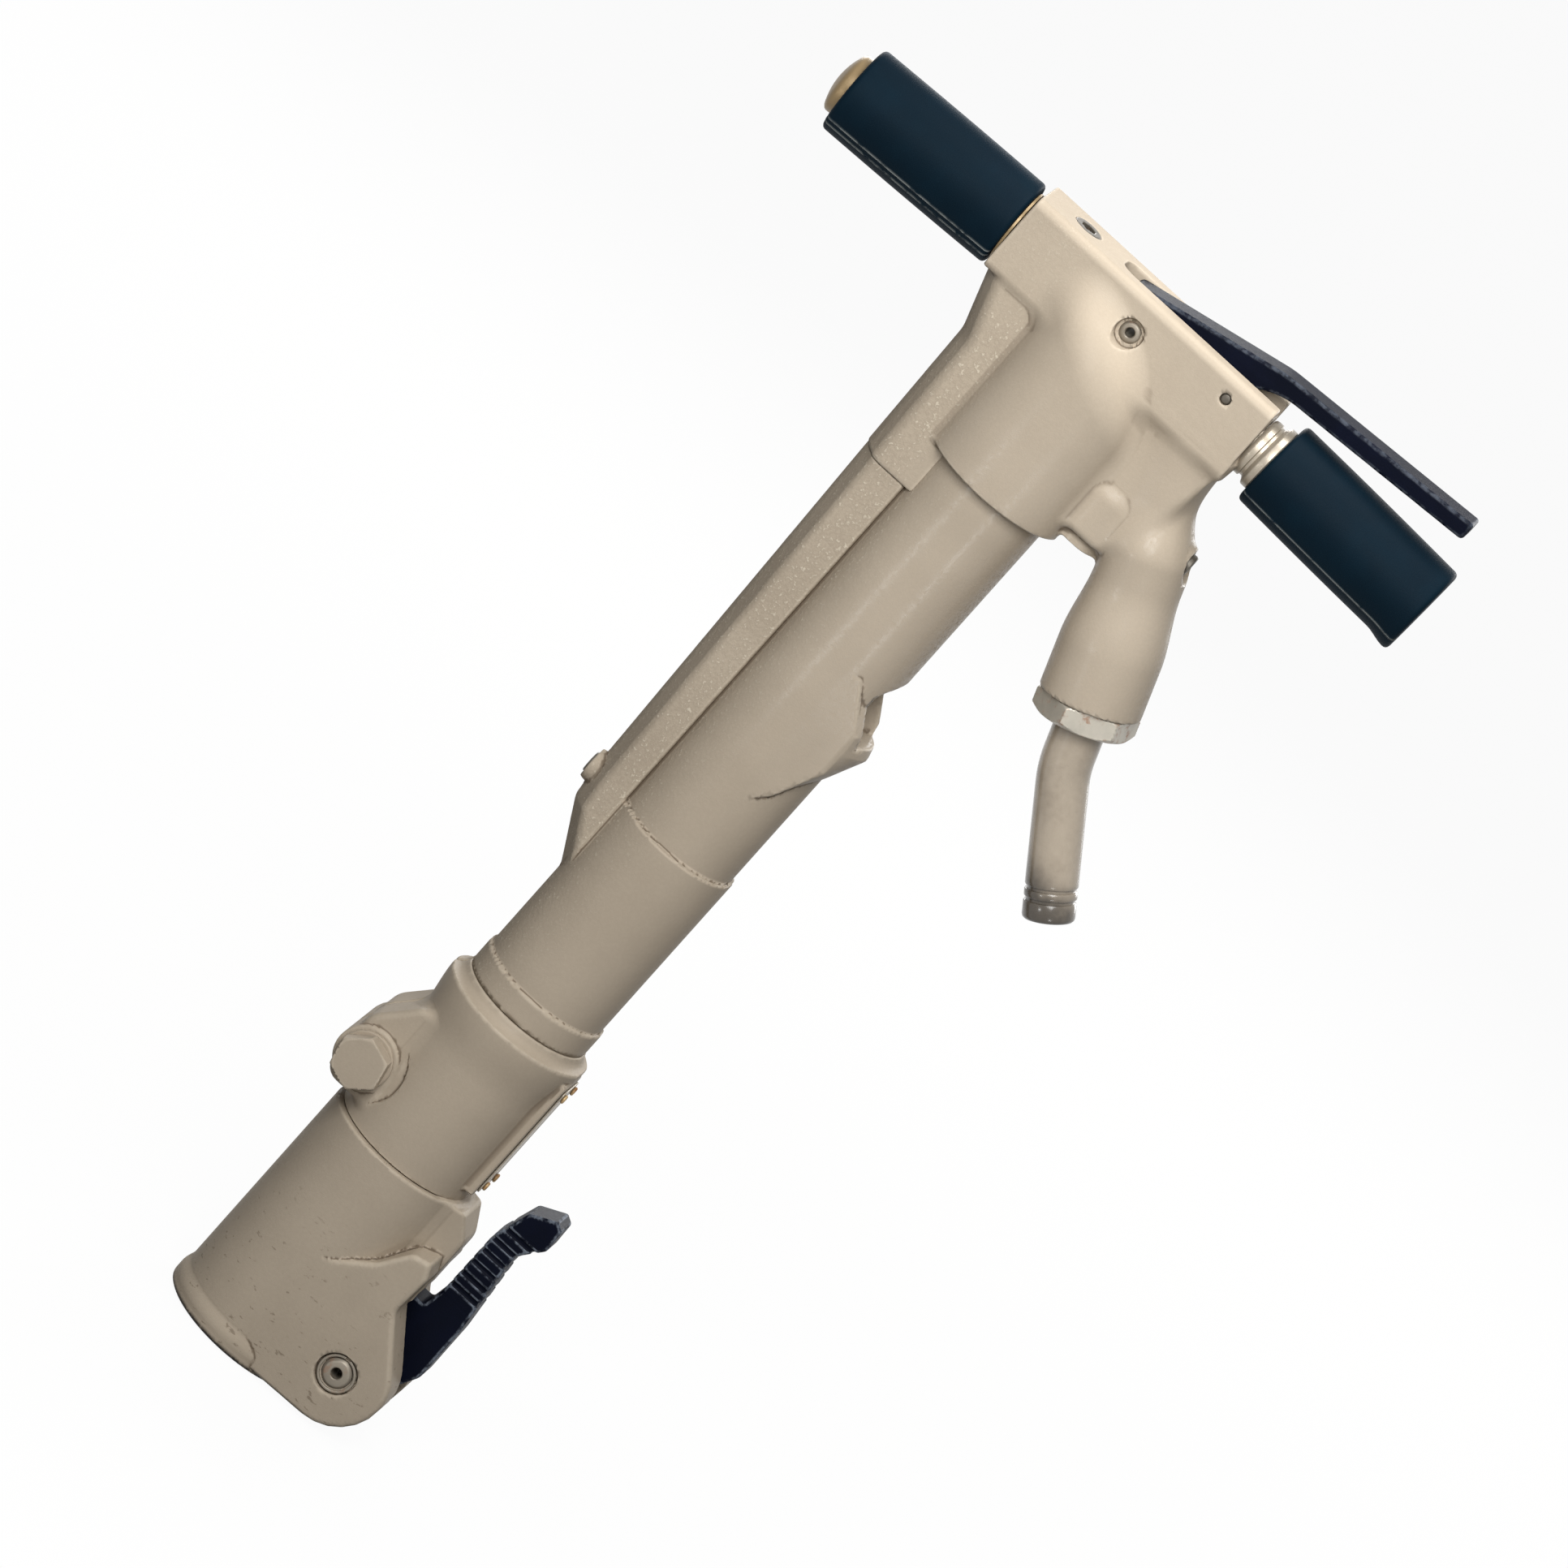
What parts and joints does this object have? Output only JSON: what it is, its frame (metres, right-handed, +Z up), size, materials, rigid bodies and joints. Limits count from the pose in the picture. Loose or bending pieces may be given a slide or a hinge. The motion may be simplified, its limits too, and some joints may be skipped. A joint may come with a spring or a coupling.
{
  "type": "pavement breaker",
  "caption": "Hand-held pneumatic pavement breaker with a T-handle, throttle lever, angled air inlet, clamped fronthead and chisel latch.",
  "frame": {"origin": "centre of the chisel socket's mouth on the nose face", "axes": "+Z up the tool's axis to the handle, +X to the lever and air inlet, -Y the front"},
  "size_m": [0.3889, 0.096, 0.7392],
  "materials": {
    "cast_paint": "satin tan paint",
    "dark_steel": "blue-black",
    "grip_rubber": "soft satin",
    "seal_rubber": "matt",
    "bright_zinc": "zinc plated",
    "plate": "bare plate",
    "painted_fasteners": "satin",
    "brass": "dull",
    "steel": "machined"
  },
  "bodies": {
    "machine": {"backhead": "cast_paint", "chisel_bushing": "steel", "clamp_bolt": "painted_fasteners", "clamp_nut": "painted_fasteners", "clamp_sleeve": "cast_paint", "clamp_washers": "painted_fasteners", "cylinder": "cast_paint", "duct_plug": "steel", "front_buffer": "seal_rubber", "fronthead": "cast_paint", "inlet_nut": "bright_zinc", "inlet_oil_plug": "steel", "inlet_strainer": "brass", "latch_pin": "steel", "latch_pin_rings": "steel", "latch_spring": "steel", "left_grip": "grip_rubber", "left_handle_bar": "brass", "lever_pin": "steel", "lever_stop_pin": "steel", "nameplate": "plate", "nameplate_screws": "steel", "oil_plug": "steel", "piston_guide": "steel", "right_grip": "grip_rubber", "right_handle_bar": "steel", "swivel_seal": "seal_rubber", "tappet_bushing": "steel", "throttle_cap": "steel", "throttle_seat": "brass", "throttle_spring": "steel", "valve_cap": "steel", "valve_chest": "steel", "valve_dowel": "steel", "valve_gasket": "seal_rubber", "valve_seat": "steel"},
    "throttle_lever": {"throttle_lever": "dark_steel"},
    "throttle_valve": {"throttle_valve": "steel"},
    "swivel": {"swivel_tube": "cast_paint"},
    "latch": {"latch": "dark_steel"},
    "latch_plunger": {"latch_plunger": "steel"},
    "piston": {"piston": "steel"},
    "tappet": {"tappet": "steel"},
    "valve_disc": {"valve_disc": "steel"}
  },
  "joints": [
    {"name": "lever_pivot", "type": "hinge", "parent": "machine", "child": "throttle_lever", "pos_m": [0.001, 0, 0.697], "axis": [0, 1, 0], "range_deg": [0, 4], "stiffness_Nm_per_rad": 10, "springref_deg": -8.59},
    {"name": "valve_lift", "type": "slide", "parent": "machine", "child": "throttle_valve", "axis": [0, 0, -1], "range_m": [0, 0.00345], "deforming": ["throttle_spring"]},
    {"name": "inlet_swivel", "type": "hinge", "parent": "machine", "child": "swivel", "pos_m": [0.1063, 0, 0.5397], "axis": [0.3371, 0, -0.9415], "continuous": true},
    {"name": "latch_swing", "type": "hinge", "parent": "machine", "child": "latch", "pos_m": [0.052, 0, 0.03], "axis": [0, 1, 0], "range_deg": [0, 55]},
    {"name": "plunger_slide", "type": "slide", "parent": "machine", "child": "latch_plunger", "axis": [0, 0, 1], "range_m": [0, 0.004], "stiffness_N_per_m": 1500, "springref_m": -0.004, "deforming": ["latch_spring"]},
    {"name": "piston_stroke", "type": "slide", "parent": "machine", "child": "piston", "axis": [0, 0, 1], "range_m": [0, 0.15]},
    {"name": "tappet_slide", "type": "slide", "parent": "machine", "child": "tappet", "axis": [0, 0, 1], "range_m": [0, 0.012]},
    {"name": "valve_disc_slide", "type": "slide", "parent": "machine", "child": "valve_disc", "axis": [0, 0, 1], "range_m": [0, 0.002]}
  ],
  "couplings": [
    {"joint": "valve_lift", "follows": "lever_pivot", "m_per_rad": 0.049}
  ]
}
